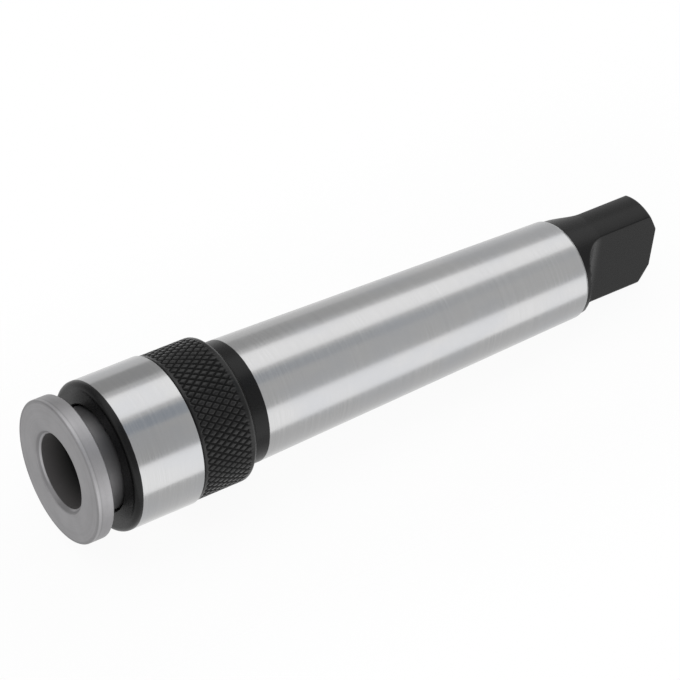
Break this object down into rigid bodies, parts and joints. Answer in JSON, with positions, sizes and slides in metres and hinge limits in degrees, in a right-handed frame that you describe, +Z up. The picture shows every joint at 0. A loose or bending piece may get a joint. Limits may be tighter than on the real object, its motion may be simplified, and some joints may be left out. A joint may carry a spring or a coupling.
{
  "type": "quick change tapping head",
  "caption": "Quick change tapping head with a Morse taper shank, knurled release sleeve and floating spring loaded tap adaptor.",
  "frame": {"origin": "on the tool axis, in the gauge plane of the Morse taper, where the taper is 31.267 mm across", "axes": "+X along the tool axis towards the tang, +Z up with the tang's wide side upright, as the tool lies in the picture"},
  "size_m": [0.1765, 0.0379, 0.038],
  "materials": {
    "ground_steel": "fine ground steel, faint lengthwise and round grinding lines",
    "black_steel": "black oxide on turned and milled steel, satin",
    "knurled_black": "black oxide with a diamond knurl",
    "grey_steel": "grey hardened steel, satin",
    "polished_steel": "polished bearing steel",
    "spring_steel": "drawn spring wire"
  },
  "bodies": {
    "holder": {"shank": "ground_steel", "cross_pin": "polished_steel", "spring_seat": "grey_steel"},
    "float_unit": {"spindle": "black_steel", "spindle_plug": "black_steel", "float_spring": "spring_steel", "tap_adaptor": "grey_steel", "adaptor_keys": "polished_steel", "sleeve_spring": "spring_steel"},
    "ball_1": {"lock_ball_1": "polished_steel"},
    "ball_2": {"lock_ball_2": "polished_steel"},
    "ball_3": {"lock_ball_3": "polished_steel"},
    "sleeve": {"release_sleeve": "ground_steel", "knurled_grip": "knurled_black", "stop_ring": "spring_steel"}
  },
  "joints": [
    {"name": "float_slide", "type": "slide", "parent": "holder", "child": "float_unit", "axis": [-1, 0, 0], "range_m": [0, 0.006], "stiffness_N_per_m": 6000, "springref_m": -0.004, "deforming": ["float_spring"]},
    {"name": "sleeve_release", "type": "slide", "parent": "float_unit", "child": "sleeve", "axis": [1, 0, 0], "range_m": [0, 0.0045], "stiffness_N_per_m": 3000, "springref_m": -0.003, "deforming": ["sleeve_spring"]},
    {"name": "ball_1_slide", "type": "slide", "parent": "float_unit", "child": "ball_1", "axis": [0, 0, 1], "range_m": [0, 0.0014]},
    {"name": "ball_2_slide", "type": "slide", "parent": "float_unit", "child": "ball_2", "axis": [0, -0.866, -0.5], "range_m": [0, 0.0014]},
    {"name": "ball_3_slide", "type": "slide", "parent": "float_unit", "child": "ball_3", "axis": [0, 0.866, -0.5], "range_m": [0, 0.0014]}
  ],
  "couplings": [
    {"joint": "ball_1_slide", "follows": "sleeve_release", "ratio": 0.31111},
    {"joint": "ball_2_slide", "follows": "sleeve_release", "ratio": 0.31111},
    {"joint": "ball_3_slide", "follows": "sleeve_release", "ratio": 0.31111}
  ]
}
